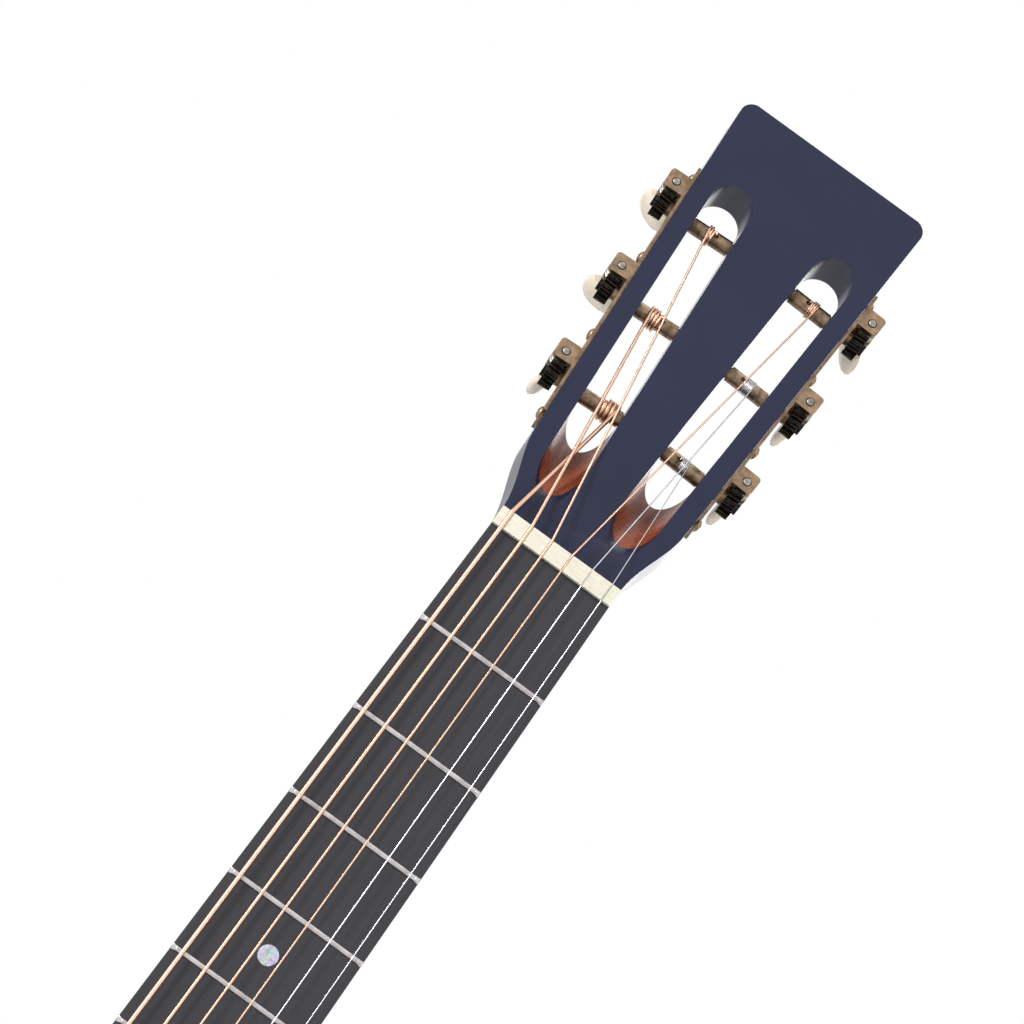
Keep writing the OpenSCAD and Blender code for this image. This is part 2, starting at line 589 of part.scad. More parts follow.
// a tube along a path of points: a six-sided section carried square to the path
function unit(v) = v / norm(v);
function path_way(p, i) = unit(p[min(i + 1, len(p) - 1)] - p[max(i - 1, 0)]);
module tube(p, r) {
    m = len(p);
    rings = [for (i = [0 : m - 1])
        let (w = path_way(p, i), a = unit(cross(w, [0.9, 0.2, 0.1])), b = cross(w, a))
        for (k = [0 : 5]) p[i] + r * (cos(60 * k) * a + sin(60 * k) * b)];
    sides = [for (i = [0 : m - 2], k = [0 : 5])
        [6 * i + k, 6 * i + (k + 1) % 6, 6 * i + 6 + (k + 1) % 6, 6 * i + 6 + k]];
    polyhedron(points = rings,
        faces = concat([[5, 4, 3, 2, 1, 0]], sides, [[for (k = [0 : 5]) 6 * m - 6 + k]]));
}
// a point of the tuner's side frame carried into the guitar's frame
function lean(v, a) = [v[0] * cos(a) + v[2] * sin(a), v[1], -v[0] * sin(a) + v[2] * cos(a)];
function tip(v, a) = [v[0], v[1] * cos(a) + v[2] * sin(a), -v[1] * sin(a) + v[2] * cos(a)];
function from_side(n, v) = let (h = lean(v, splay) + [side_start, 0, 0])
    tip([side_of(n) * h[0], h[1], h[2]], head_angle) + [0, face_drop, nut_length];
wrap_steps = 12;
function wrap_path(n) = let (way = wrap_way(n),
    r = (roller_radius + 0.06) / cos(180 / wrap_steps) + string_radius[n - 1])
    [for (i = [0 : wrap_steps * wrap_turns[n - 1]]) let (a = 8 + 360 * i / wrap_steps)
        from_side(n, [wrap_shift[n - 1] - slot_inset + way * (wrap_pitch(n) * i / wrap_steps - wrap_half(n)),
            roller_depth - r * cos(a), post_place(n) + r * sin(a)])];
function saddle_top(n) = let (x = string_x(n)) [x, board_radius + saddle_y - sqrt(pow(board_radius, 2) - x * x)
    - string_radius[n - 1] - gap, saddle_z + x * tan(saddle_tilt)];
function string_path(n) = let (r = string_radius[n - 1]) concat(
    [[pin_x(n), top_y + plate_thickness + 6, pin_row + 2.5 + r], [pin_x(n), pin_head_y + 2, pin_row + 2.5 + r],
     [pin_x(n), pin_head_y - 0.2, pin_row + 3.0 + r], saddle_top(n) + [0, 0.25, -1.7], saddle_top(n),
     [nut_x(n), nut_y(n), 0], [nut_x(n), nut_y(n), nut_length - 0.5]],
    wrap_path(n));
module string(n) color(n < 3 ? [0.8, 0.8, 0.8] : [0.8, 0.6, 0.45]) tube(string_path(n), string_radius[n - 1]);

neck();
headplate();
fingerboard();
frets();
position_markers();
side_markers();
nut();
truss_rod();
heel_cap();
soundboard();
back();
side_bass();
side_treble();
linings();
neck_block();
end_block();
top_braces();
back_braces();
bridge_plate();
top_binding();
back_binding();
rosette();
pickguard();
bridge();
saddle();
bridge_pins();
end_pin();
tuner_plate_bass();
tuner_plate_treble();
tuner_screws();
string(1);  // string_1
string(2);  // string_2
string(3);  // string_3
string(4);  // string_4
string(5);  // string_5
string(6);  // string_6
knob(1);  // knob_1
knob(2);  // knob_2
knob(3);  // knob_3
knob(4);  // knob_4
knob(5);  // knob_5
knob(6);  // knob_6
worm(1);  // worm_1
worm(2);  // worm_2
worm(3);  // worm_3
worm(4);  // worm_4
worm(5);  // worm_5
worm(6);  // worm_6
gear(1);  // gear_1
gear(2);  // gear_2
gear(3);  // gear_3
gear(4);  // gear_4
gear(5);  // gear_5
gear(6);  // gear_6
roller(1);  // roller_1
roller(2);  // roller_2
roller(3);  // roller_3
roller(4);  // roller_4
roller(5);  // roller_5
roller(6);  // roller_6
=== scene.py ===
# %% [markdown]
# # A slotted-headstock acoustic guitar
# The CAD model gives every wooden, brass and bone piece its place. This lesson loads it, keeps the shapes
# that are right, rounds their edges, and makes again as smooth surfaces the ones that catch the light:
# strings, worms, frets and knobs. Then each finish is built from noise and waves at real sizes.

# %% Load the frame
import json
import math
import bmesh
import bpy
import numpy as np
from mathutils import Matrix, Vector


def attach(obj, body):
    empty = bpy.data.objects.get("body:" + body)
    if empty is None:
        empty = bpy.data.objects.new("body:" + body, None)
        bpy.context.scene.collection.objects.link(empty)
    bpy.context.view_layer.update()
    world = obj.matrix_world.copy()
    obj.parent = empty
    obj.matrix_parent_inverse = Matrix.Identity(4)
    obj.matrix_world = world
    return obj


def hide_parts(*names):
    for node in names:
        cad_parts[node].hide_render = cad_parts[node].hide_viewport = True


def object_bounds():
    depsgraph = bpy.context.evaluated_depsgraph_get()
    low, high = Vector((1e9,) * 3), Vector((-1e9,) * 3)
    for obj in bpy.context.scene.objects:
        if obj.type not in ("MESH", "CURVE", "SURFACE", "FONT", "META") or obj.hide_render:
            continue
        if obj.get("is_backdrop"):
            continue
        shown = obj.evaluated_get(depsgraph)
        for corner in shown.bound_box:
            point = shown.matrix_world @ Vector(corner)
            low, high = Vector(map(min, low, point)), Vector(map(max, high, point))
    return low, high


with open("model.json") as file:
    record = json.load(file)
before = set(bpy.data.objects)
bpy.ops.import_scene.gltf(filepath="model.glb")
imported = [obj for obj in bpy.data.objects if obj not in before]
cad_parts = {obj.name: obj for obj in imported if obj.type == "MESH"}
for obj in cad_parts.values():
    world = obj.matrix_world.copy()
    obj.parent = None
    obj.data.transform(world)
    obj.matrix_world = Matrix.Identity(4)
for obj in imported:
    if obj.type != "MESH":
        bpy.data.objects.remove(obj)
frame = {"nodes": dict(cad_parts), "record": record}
cad_low, cad_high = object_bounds()
nodes = frame["nodes"]
MM = 0.001
print("pieces from CAD:", len(nodes), "height of the guitar in mm:", round((cad_high.z - cad_low.z) / MM))

# %% [markdown]
# ## The headstock's own frame
# The head leans back from the neck and its sides splay, so the tuners are easiest to place in a frame of
# their own: outward from the side, into the wood, and up along the row of tuners. The numbers here are the
# guitar's driving sizes in millimetres.

# %% The side frame
HEAD_TILT = math.radians(15.5)
SPLAY = math.radians(2.85)
SIDE_START, FACE_DROP, NUT_LENGTH = 26.10, 2.73, 6.0
SLOT_INSET, SLOT_WIDTH, ROLLER_DEPTH = 13.53, 14.2, 7.75
FIRST_POST, POST_SPACING, CENTRES, WORM_OUT = 51.6, 36.0, 7.0, 4.6
SCALE = 628.65


def side_of(n):
    """Strings 1 to 3 are wound on the treble side, +X, and 4 to 6 on the bass side."""
    return 1 if n <= 3 else -1


def post_place(n):
    """Distance of the roller of string n up its side."""
    return FIRST_POST + POST_SPACING * (n - 1 if n <= 3 else 6 - n)


def head_point(x, d, s):
    """Metres in the guitar's frame of a point x across, d into the wood and s up the face."""
    ct, st = math.cos(HEAD_TILT), math.sin(HEAD_TILT)
    return np.stack([x, d * ct + s * st + FACE_DROP, -d * st + s * ct + NUT_LENGTH], -1) * MM


def side_point(side, out, d, up):
    """The same for a point given out from the head's side, d into the wood and up along the tuners."""
    out, d, up = np.broadcast_arrays(np.asarray(out, float), d, up)
    x = out * math.cos(SPLAY) + up * math.sin(SPLAY) + SIDE_START
    s = -out * math.sin(SPLAY) + up * math.cos(SPLAY)
    return head_point(side * x, d, s)


def fret_z(n):
    """Place of fret n: the open length shortens by a twelfth root of two at each fret."""
    return -SCALE * (1 - 2 ** (-n / 12))


print("roller of string 1 at", np.round(side_point(1, -SLOT_INSET, ROLLER_DEPTH, post_place(1)) / MM, 1))

# %% [markdown]
# ## The camera
# A long lens from below and in front, rolled so that the neck climbs to the upper right.
# The camera's three axes come from its yaw, pitch and roll, turned about Z, X and Y in that order.

# %% Camera
YAW, PITCH, ROLL = 0.0020, 0.2338, 0.6281
FOCAL_IN_WIDTHS = 5.895
cy, sy, cp, sp, cr, sr = (f(a) for a in (YAW, PITCH, ROLL) for f in (math.cos, math.sin))
about_z = np.array([[cy, sy, 0], [-sy, cy, 0], [0, 0, 1]])
about_x = np.array([[1, 0, 0], [0, cp, sp], [0, -sp, cp]])
about_y = np.array([[cr, 0, sr], [0, 1, 0], [-sr, 0, cr]])
right, forward, up = about_y @ about_x @ about_z
camera_data = bpy.data.cameras.new("camera")
camera_data.sensor_width = 36
camera_data.lens = 36 * FOCAL_IN_WIDTHS
camera_data.clip_end = 100
camera = bpy.data.objects.new("camera", camera_data)
bpy.context.scene.collection.objects.link(camera)
turned = Matrix([right, up, -forward]).transposed().to_4x4()
camera.matrix_world = Matrix.Translation(Vector((-0.01487, -1.73836, -0.40791))) @ turned
bpy.context.scene.camera = camera
print("lens in mm:", round(camera_data.lens, 1))

# %% [markdown]
# ## Node helper
# One function adds any shader node: its settings are keyword arguments, `put` sets socket values, `feed`
# links other nodes' outputs in, and `stops` fills a colour ramp. Colours are written as on a paint chart
# and turned to linear light once.


# %% Colour and node helpers
def linear(code, alpha=1.0):
    """sRGB hex to linear RGBA: the standard curve with its straight toe."""
    v = np.array([int(code[i:i + 2], 16) for i in (1, 3, 5)]) / 255
    v = np.where(v <= 0.04045, v / 12.92, ((v + 0.055) / 1.055) ** 2.4)
    return (*v.tolist(), alpha)


def add(tree, kind, put=None, feed=None, stops=None, **settings):
    """Adds one node to a tree with its settings, socket values, links and colour stops."""
    made = tree.nodes.new(kind)
    for key, value in settings.items():
        setattr(made, key, value)
    for key, value in (put or {}).items():
        made.inputs[key].default_value = value
    for key, source in (feed or {}).items():
        tree.links.new(source, made.inputs[key])
    if stops:
        while len(made.color_ramp.elements) < len(stops):
            made.color_ramp.elements.new(1.0)
        for element, (place, colour) in zip(made.color_ramp.elements, stops):
            element.position = place
            element.color = linear(colour) if isinstance(colour, str) else (colour, colour, colour, 1)
    return made


def finish(name, **sockets):
    """A material with one Principled shader, and its tree."""
    material = bpy.data.materials.new(name)
    material.use_nodes = True
    tree = material.node_tree
    shader = tree.nodes["Principled BSDF"]
    for key, value in sockets.items():
        shader.inputs[key.replace("_", " ")].default_value = value
    return material, tree, shader


def object_space(tree, scale=(1, 1, 1), turn=(0, 0, 0)):
    """Object coordinates in millimetres, stretched and turned for a pattern with a direction."""
    place = add(tree, "ShaderNodeTexCoord")
    return add(tree, "ShaderNodeMapping", put={"Scale": [s / MM for s in scale], "Rotation": turn},
               feed={"Vector": place.outputs["Object"]}).outputs["Vector"]


# %% [markdown]
# ## Finishes
# Each one starts as its real material. Colour first, then the roughness and the small relief that break up
# a highlight.

# %% Navy lacquer
# Dark navy satin lacquer sprayed over mahogany: colour almost even, a broad soft highlight, faint orange
# peel about 2 mm across, a few fine specks where dust settled.
navy, tree, shader = finish("navy_satin_lacquer", Roughness=0.36, IOR=1.38, Coat_Weight=0.12, Coat_Roughness=0.1, Coat_IOR=1.4)
space = object_space(tree)
cloud = add(tree, "ShaderNodeTexNoise", put={"Scale": 0.05, "Detail": 3.0}, feed={"Vector": space})
tone = add(tree, "ShaderNodeValToRGB", feed={"Fac": cloud.outputs["Fac"]}, stops=[(0.3, "#1b1f38"), (0.7, "#20243f")])
speck = add(tree, "ShaderNodeTexVoronoi", put={"Scale": 0.28, "Randomness": 1.0}, feed={"Vector": space})
spot = add(tree, "ShaderNodeValToRGB", feed={"Fac": speck.outputs["Distance"]}, stops=[(0.02, 0.3), (0.04, 0.0)])
paint = add(tree, "ShaderNodeMix", data_type="RGBA", put={"B": linear("#70738c")},
            feed={"Factor": spot.outputs["Color"], "A": tone.outputs["Color"]})
tree.links.new(paint.outputs["Result"], shader.inputs["Base Color"])
peel = add(tree, "ShaderNodeTexNoise", put={"Scale": 0.5, "Detail": 2.0}, feed={"Vector": space})
relief = add(tree, "ShaderNodeBump", put={"Strength": 0.08, "Distance": 0.00004}, feed={"Height": peel.outputs["Fac"]})
tree.links.new(relief.outputs["Normal"], shader.inputs["Normal"])

# %% Bare mahogany
# Sawn and sanded mahogany under a thin stain: red brown with darker open pores 0.2 mm wide and 1 to 3 mm
# long, which give the ramps their speckled look.
mahogany, tree, shader = finish("stained_mahogany", Roughness=0.45, IOR=1.5, Coat_Weight=0.3, Coat_Roughness=0.3)
space = object_space(tree, scale=(1, 1, 0.35), turn=(0, 0, 0))
pores = add(tree, "ShaderNodeTexNoise", put={"Scale": 2.2, "Detail": 5.0, "Roughness": 0.7}, feed={"Vector": space})
tone = add(tree, "ShaderNodeValToRGB", feed={"Fac": pores.outputs["Fac"]},
           stops=[(0.36, "#4a1c0c"), (0.5, "#8a3a18"), (0.66, "#c0612a")])
tree.links.new(tone.outputs["Color"], shader.inputs["Base Color"])
relief = add(tree, "ShaderNodeBump", put={"Strength": 0.35, "Distance": 0.0001}, feed={"Height": pores.outputs["Fac"]})
tree.links.new(relief.outputs["Normal"], shader.inputs["Normal"])


def grained(name, dark, light, stretch, scale, rough, bump, **sockets):
    """Wood cut along Z: noise stretched along the grain colours it and roughens it."""
    material, tree, shader = finish(name, Roughness=rough, IOR=1.5, **sockets)
    space = object_space(tree, scale=(1, 1, stretch))
    grain = add(tree, "ShaderNodeTexNoise", put={"Scale": scale, "Detail": 6.0, "Roughness": 0.62}, feed={"Vector": space})
    tone = add(tree, "ShaderNodeValToRGB", feed={"Fac": grain.outputs["Fac"]}, stops=[(0.32, dark), (0.68, light)])
    tree.links.new(tone.outputs["Color"], shader.inputs["Base Color"])
    relief = add(tree, "ShaderNodeBump", put={"Strength": bump, "Distance": 0.0001}, feed={"Height": grain.outputs["Fac"]})
    tree.links.new(relief.outputs["Normal"], shader.inputs["Normal"])
    return material


# %% Woods with a straight grain
# Fingerboard: a charcoal board, rubbed to a dull sheen, with grain lines about 0.5 mm apart.
board_wood = grained("charcoal_board", "#242328", "#312f35", 0.03, 1.6, 0.45, 0.25)
# Bridge and bridge plate: rosewood, brown with near-black lines.
rosewood = grained("oiled_rosewood", "#1b1210", "#3d2620", 0.04, 0.9, 0.42, 0.3)
# Braces and linings: bare spruce, with pale summer and amber winter rings.
spruce = grained("bare_spruce", "#c29a63", "#e3c795", 0.02, 0.7, 0.6, 0.2)
block_wood = grained("bare_mahogany_block", "#6d3a22", "#9a5c3a", 0.06, 0.8, 0.6, 0.3)


# %% [markdown]
# ## Bone, ivory-coloured plastic and pearl
# These are pale and slightly translucent. A little subsurface light keeps their edges from looking like
# painted stone.

# %% Pale materials
def pale(name, low, high, scale, rough, depth_mm, stretch=1.0):
    """A pale translucent solid with a cloudy tone a few millimetres across."""
    material, tree, shader = finish(name, Roughness=rough, IOR=1.54, Subsurface_Weight=0.12,
                                    Subsurface_Scale=depth_mm * MM)
    space = object_space(tree, scale=(1, 1, stretch))
    cloud = add(tree, "ShaderNodeTexNoise", put={"Scale": scale, "Detail": 4.0}, feed={"Vector": space})
    tone = add(tree, "ShaderNodeValToRGB", feed={"Fac": cloud.outputs["Fac"]}, stops=[(0.3, low), (0.7, high)])
    tree.links.new(tone.outputs["Color"], shader.inputs["Base Color"])
    relief = add(tree, "ShaderNodeBump", put={"Strength": 0.06, "Distance": 0.00005}, feed={"Height": cloud.outputs["Fac"]})
    tree.links.new(relief.outputs["Normal"], shader.inputs["Normal"])
    return material


bone = pale("polished_bone", "#e2dcc8", "#efebdb", 0.4, 0.32, 1.0, 3.0)
cream = pale("ivoroid_knob", "#e6d8c2", "#f5ebdb", 0.18, 0.22, 1.5, 0.4)
ivoroid = pale("ivoroid_binding", "#ddd2b4", "#eae2c9", 0.3, 0.3, 1.0, 0.2)
side_dot = pale("ivory_dot", "#e4dcc6", "#f0ead8", 0.5, 0.3, 0.5)

# Pearl inlay: thin shell, polished flat. Its cells, 1 to 2 mm, each turn a slightly different colour.
pearl, tree, shader = finish("pearl_inlay", Roughness=0.18, IOR=1.6, Metallic=0.25, Coat_Weight=0.5, Coat_Roughness=0.05)
space = object_space(tree, scale=(1, 1, 0.6))
cells = add(tree, "ShaderNodeTexVoronoi", put={"Scale": 0.7}, feed={"Vector": space})
waves = add(tree, "ShaderNodeTexNoise", put={"Scale": 0.8, "Detail": 5.0, "Distortion": 2.5}, feed={"Vector": space})
tone = add(tree, "ShaderNodeValToRGB", feed={"Fac": waves.outputs["Fac"]},
           stops=[(0.3, "#8fb4c9"), (0.45, "#dfe6ee"), (0.55, "#b9a6cf"), (0.7, "#a8d3cc")])
mixed = add(tree, "ShaderNodeMix", data_type="RGBA", blend_type="SOFT_LIGHT", put={"Factor": 0.5},
            feed={"A": tone.outputs["Color"], "B": cells.outputs["Color"]})
tree.links.new(mixed.outputs["Result"], shader.inputs["Base Color"])

# Tortoise plastic: amber sheet with dark brown clouds 5 to 15 mm across, under a hard polish.
tortoise, tree, shader = finish("tortoise_celluloid", Roughness=0.15, IOR=1.5, Coat_Weight=0.4, Coat_Roughness=0.05)
cloud = add(tree, "ShaderNodeTexNoise", put={"Scale": 0.09, "Detail": 4.0, "Distortion": 1.2}, feed={"Vector": object_space(tree)})
tone = add(tree, "ShaderNodeValToRGB", feed={"Fac": cloud.outputs["Fac"]},
           stops=[(0.38, "#1a0803"), (0.52, "#5d2408"), (0.66, "#a04f14")])
tree.links.new(tone.outputs["Color"], shader.inputs["Base Color"])


# %% [markdown]
# ## Metals
# Brushed pieces get noise stretched along the brushing, aged ones get soft brown patches that are rougher
# than the metal between them.

# %% Metals
def aged_metal(name, patch, bright, scale, rough_low, rough_high, brushed=1.0, metallic=1.0):
    """A metal whose tarnish follows a cloudy noise: darker and rougher in the patches."""
    material, tree, shader = finish(name, Metallic=metallic)
    cloud = add(tree, "ShaderNodeTexNoise", put={"Scale": scale, "Detail": 6.0, "Roughness": 0.65},
                feed={"Vector": object_space(tree)})
    tone = add(tree, "ShaderNodeValToRGB", feed={"Fac": cloud.outputs["Fac"]}, stops=[(0.36, patch), (0.62, bright)])
    tree.links.new(tone.outputs["Color"], shader.inputs["Base Color"])
    dull = add(tree, "ShaderNodeMapRange", put={"To Min": rough_high, "To Max": rough_low},
               feed={"Value": cloud.outputs["Fac"]})
    tree.links.new(dull.outputs["Result"], shader.inputs["Roughness"])
    brush = add(tree, "ShaderNodeTexNoise", put={"Scale": 6.0, "Detail": 2.0},
                feed={"Vector": object_space(tree, scale=(1, 1, 0.06))})
    relief = add(tree, "ShaderNodeBump", put={"Strength": 0.2 * brushed, "Distance": 0.00004},
                 feed={"Height": brush.outputs["Fac"]})
    tree.links.new(relief.outputs["Normal"], shader.inputs["Normal"])
    return material


plate_brass = aged_metal("antique_brushed_brass", "#7f6a56", "#a98f76", 0.35, 0.38, 0.5)
roller_brass = aged_metal("browned_brass", "#4f4035", "#a58c74", 0.3, 0.28, 0.5)
shaft_steel = aged_metal("dull_nickel_steel", "#77726c", "#a8a39b", 0.6, 0.3, 0.45)
black_steel = aged_metal("blackened_steel", "#161412", "#3a352f", 0.8, 0.3, 0.5)
fret_nickel = aged_metal("polished_nickel_silver", "#b9b2b2", "#dcd6d6", 0.3, 0.14, 0.22, 0.2)
plain_wire = aged_metal("drawn_plain_steel", "#d6d6da", "#f0f0f4", 0.4, 0.22, 0.3, 0.0)

# Phosphor bronze winding: wire of about a third of the core wound tightly. It is drawn by the string's own
# UV, whose first axis counts the turns, as a row of round ridges, with painted shade darkening the grooves.
bronze, tree, shader = finish("phosphor_bronze_winding", Metallic=1.0, Roughness=0.3)
place = add(tree, "ShaderNodeTexCoord")
turns = add(tree, "ShaderNodeTexWave", wave_type="BANDS", bands_direction="X", wave_profile="SIN",
            put={"Scale": 0.3183}, feed={"Vector": place.outputs["UV"]})
# Painted shade: the ramp's darker colour sits in the grooves between turns, where shade falls.
tone = add(tree, "ShaderNodeValToRGB", feed={"Fac": turns.outputs["Fac"]}, stops=[(0.1, "#c79678"), (0.7, "#fbd6bc")])
tree.links.new(tone.outputs["Color"], shader.inputs["Base Color"])
relief = add(tree, "ShaderNodeBump", put={"Strength": 0.35, "Distance": 0.00005}, feed={"Height": turns.outputs["Fac"]})
tree.links.new(relief.outputs["Normal"], shader.inputs["Normal"])
print("finishes:", len(bpy.data.materials))


# %% [markdown]
# ## Rounding CAD edges
# Real edges are never sharp: sanded wood is rounded by half a millimetre, brass by a tenth. A copy of a CAD
# piece is welded, and a bevel on its sharp edges gives the bright line that a sharp edge can't.

# %% Softened copies
def place_object(name, mesh, body, materials, replaced):
    """Links a finished mesh, puts it on a body and hides the CAD node it stands for."""
    made = bpy.data.objects.new(name, mesh)
    bpy.context.scene.collection.objects.link(made)
    for material in materials:
        mesh.materials.append(material)
    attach(made, body)
    if replaced:
        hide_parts(replaced)
    return made


body_names = {n: body for body, group in frame["record"]["behaviour"]["bodies"].items() for n in group}


def softened(node, width_mm, *materials, angle=35, segments=2, smooth=40):
    """A welded copy of a CAD node with its sharp edges rounded to width_mm."""
    source = nodes[node].data
    corners = np.empty(len(source.vertices) * 3, np.float32)
    source.vertices.foreach_get("co", corners)
    source.calc_loop_triangles()
    faces = np.empty(len(source.loop_triangles) * 3, np.int32)
    source.loop_triangles.foreach_get("vertices", faces)
    mesh = bpy.data.meshes.new(node + "_soft")
    mesh.from_pydata(corners.reshape(-1, 3).tolist(), [], faces.reshape(-1, 3).tolist())
    shape = bmesh.new()
    shape.from_mesh(mesh)
    bmesh.ops.remove_doubles(shape, verts=shape.verts, dist=0.000004)
    bmesh.ops.dissolve_limit(shape, angle_limit=math.radians(0.4), verts=shape.verts, edges=shape.edges)
    shape.to_mesh(mesh)
    shape.free()
    mesh.polygons.foreach_set("use_smooth", np.ones(len(mesh.polygons), bool))
    mesh.set_sharp_from_angle(angle=math.radians(smooth))
    made = place_object(node + "_soft", mesh, body_names[node], materials, node)
    if width_mm:
        bevel = made.modifiers.new("edges", "BEVEL")
        bevel.width = width_mm * MM
        bevel.segments = segments
        bevel.limit_method = "ANGLE"
        bevel.angle_limit = math.radians(angle)
        bevel.use_clamp_overlap = True
        bevel.harden_normals = True
    return made


WOODWORK = {"headplate": (0.35, navy), "soundboard": (0.3, navy), "back": (0.3, navy), "side_bass": (0.2, navy),
            "side_treble": (0.2, navy), "fingerboard": (0.25, board_wood), "nut": (0.3, bone), "saddle": (0.3, bone),
            "heel_cap": (0.4, ivoroid), "bridge": (0.5, rosewood), "pickguard": (0.3, tortoise)}
for piece, (width, material) in WOODWORK.items():
    softened(piece, width, material)
KEPT = {"position_markers": pearl, "side_markers": side_dot, "truss_rod": shaft_steel, "linings": spruce,
        "neck_block": block_wood, "end_block": block_wood, "top_braces": spruce, "back_braces": spruce,
        "bridge_plate": rosewood, "top_binding": ivoroid, "back_binding": ivoroid, "rosette": ivoroid,
        "bridge_pins": ivoroid, "end_pin": ivoroid}
for piece, material in KEPT.items():
    nodes[piece].data.materials.clear()
    nodes[piece].data.materials.append(material)
for piece in ("tuner_plate_bass", "tuner_plate_treble"):
    softened(piece, 0.25, plate_brass)
softened("tuner_screws", 0.05, plate_brass)
for n in range(1, 7):
    softened(f"gear_{n}", 0.1, black_steel)
    softened(f"roller_{n}", 0.1, roller_brass)

# %% [markdown]
# ## The neck, with bare wood in the slots
# The lacquer stops at the two round troughs where the string slots end. Those faces are found by their
# distance from the axis of the tilted cutter that made them, and take the mahogany.

# %% Neck
neck = softened("neck", 0.35, navy, mahogany, smooth=32)
mesh = neck.data
centres = np.empty(len(mesh.polygons) * 3)
mesh.polygons.foreach_get("center", centres)
x, y, z = centres.reshape(-1, 3).T / MM
ct, st = math.cos(HEAD_TILT), math.sin(HEAD_TILT)
d = (y - FACE_DROP) * ct - (z - NUT_LENGTH) * st
s = (y - FACE_DROP) * st + (z - NUT_LENGTH) * ct
out = (np.abs(x) - SIDE_START) * math.cos(SPLAY) - s * math.sin(SPLAY)
climb = (np.abs(x) - SIDE_START) * math.sin(SPLAY) + s * math.cos(SPLAY)
TROUGH_FRONT, TROUGH_BACK, HEAD_THICK = 24.6, 53.3, 15.5
slope = math.atan2(HEAD_THICK, TROUGH_BACK - TROUGH_FRONT)
below = (climb - TROUGH_FRONT) * math.sin(slope) - d * math.cos(slope)
from_axis = np.hypot(out + SLOT_INSET, below)
bare = (np.abs(from_axis - SLOT_WIDTH / 2) < 0.5) & (below < -0.3) & (d > 1) & (d < HEAD_THICK - 0.1) & (climb > 0)
mesh.polygons.foreach_set("material_index", bare.astype(np.int32))
print("bare mahogany faces:", int(bare.sum()))


# %% [markdown]
# ## Surfaces from two parameters
# A surface is a grid of points, rows along it and columns around it. The columns may close on themselves,
# and the first and last rows may be capped. UV counts real lengths, so a pattern can follow the piece.

# %% Grid surface
def surface(name, points, body, material, replaced=None, cap=True, along=None, around=None):
    """Mesh from points[row, column]: columns wrap round, ends are capped, UV is (along, around)."""
    rows, cols = points.shape[:2]
    i, j = np.meshgrid(np.arange(rows - 1), np.arange(cols), indexing="ij")
    a, b = i * cols + j, i * cols + (j + 1) % cols
    quads = np.stack([a, b, b + cols, a + cols], -1).reshape(-1, 4)
    faces = quads.tolist()
    if cap:
        faces += [list(range(cols))[::-1], list(range((rows - 1) * cols, rows * cols))]
    mesh = bpy.data.meshes.new(name)
    mesh.from_pydata(points.reshape(-1, 3).tolist(), [], faces)
    along = np.arange(rows) if along is None else along
    around = np.arange(cols + 1) if around is None else around
    ii, jj = i.reshape(-1), j.reshape(-1)
    uv = np.stack([np.stack([along[ii + p], around[jj + q]], -1) for p, q in ((0, 0), (0, 1), (1, 1), (1, 0))], 1)
    layer = mesh.uv_layers.new(name="UVMap")
    flat = np.zeros((len(mesh.loops), 2), np.float32)
    flat[:uv.shape[0] * 4] = uv.reshape(-1, 2)
    layer.data.foreach_set("uv", flat.ravel())
    shape = bmesh.new()
    shape.from_mesh(mesh)
    bmesh.ops.recalc_face_normals(shape, faces=shape.faces)
    shape.to_mesh(mesh)
    shape.free()
    mesh.polygons.foreach_set("use_smooth", np.ones(len(mesh.polygons), bool))
    mesh.set_sharp_from_angle(angle=math.radians(50))
    return place_object(name, mesh, body, [material], replaced)


# %% [markdown]
# ## Strings
# A string runs from its bridge pin over the saddle and the nut to its roller. That much is still and rides
# on the guitar. The turns on the roller go round with it, so they are a second piece. Both are a circle
# carried along a path. The path is resampled by length, and the circle stays square to it.

# %% String paths
WIRE = [0.15, 0.205, 0.305, 0.405, 0.535, 0.685]
TURNS = [6, 6, 3, 2, 3, 3]
SHIFT = [0.3, 0.5, 1.0, 0.7, 1.3, -2.5]
ROLLER = 2.6
BOARD_RADIUS, NUT_SPREAD, SADDLE_SPREAD, PIN_SPREAD = 406.0, 36.7, 55.0, 56.0
PIN_ROW, SADDLE_Z, SADDLE_Y, PIN_HEAD = -SCALE - 14, -SCALE - 2.6, -5.6, -2.5


def tube(path, radius, cols=14, turn_mm=None):
    """Points and UV lengths of a circle of this radius carried along a path in metres."""
    way = np.gradient(path, axis=0)
    way /= np.linalg.norm(way, axis=1, keepdims=True)
    side = np.cross(way, [0.9, 0.2, 0.1])
    side /= np.linalg.norm(side, axis=1, keepdims=True)
    lift = np.cross(way, side)
    t = np.linspace(0, 2 * math.pi, cols, endpoint=False)[None, :, None]
    ring = path[:, None] + radius * MM * (np.cos(t) * side[:, None] + np.sin(t) * lift[:, None])
    length = np.concatenate([[0], np.cumsum(np.linalg.norm(np.diff(path, axis=0), axis=1))]) / MM
    return ring, length / (turn_mm or 1.0)


def spaced(path, step_mm):
    """The same path with points every step_mm along its length."""
    length = np.concatenate([[0], np.cumsum(np.linalg.norm(np.diff(path, axis=0), axis=1))])
    count = max(2, int(length[-1] / (step_mm * MM)) + 1)
    at = np.linspace(0, length[-1], count)
    return np.stack([np.interp(at, length, path[:, k]) for k in range(3)], -1)


def wrap_start(n):
    """Where string n meets its roller: outward shift, wrap direction and pitch of the turns."""
    way = 1 if SHIFT[n - 1] < 0 else -1
    pitch = 2 * WIRE[n - 1] + 0.08
    return SHIFT[n - 1] - way * TURNS[n - 1] * pitch / 2, way, pitch


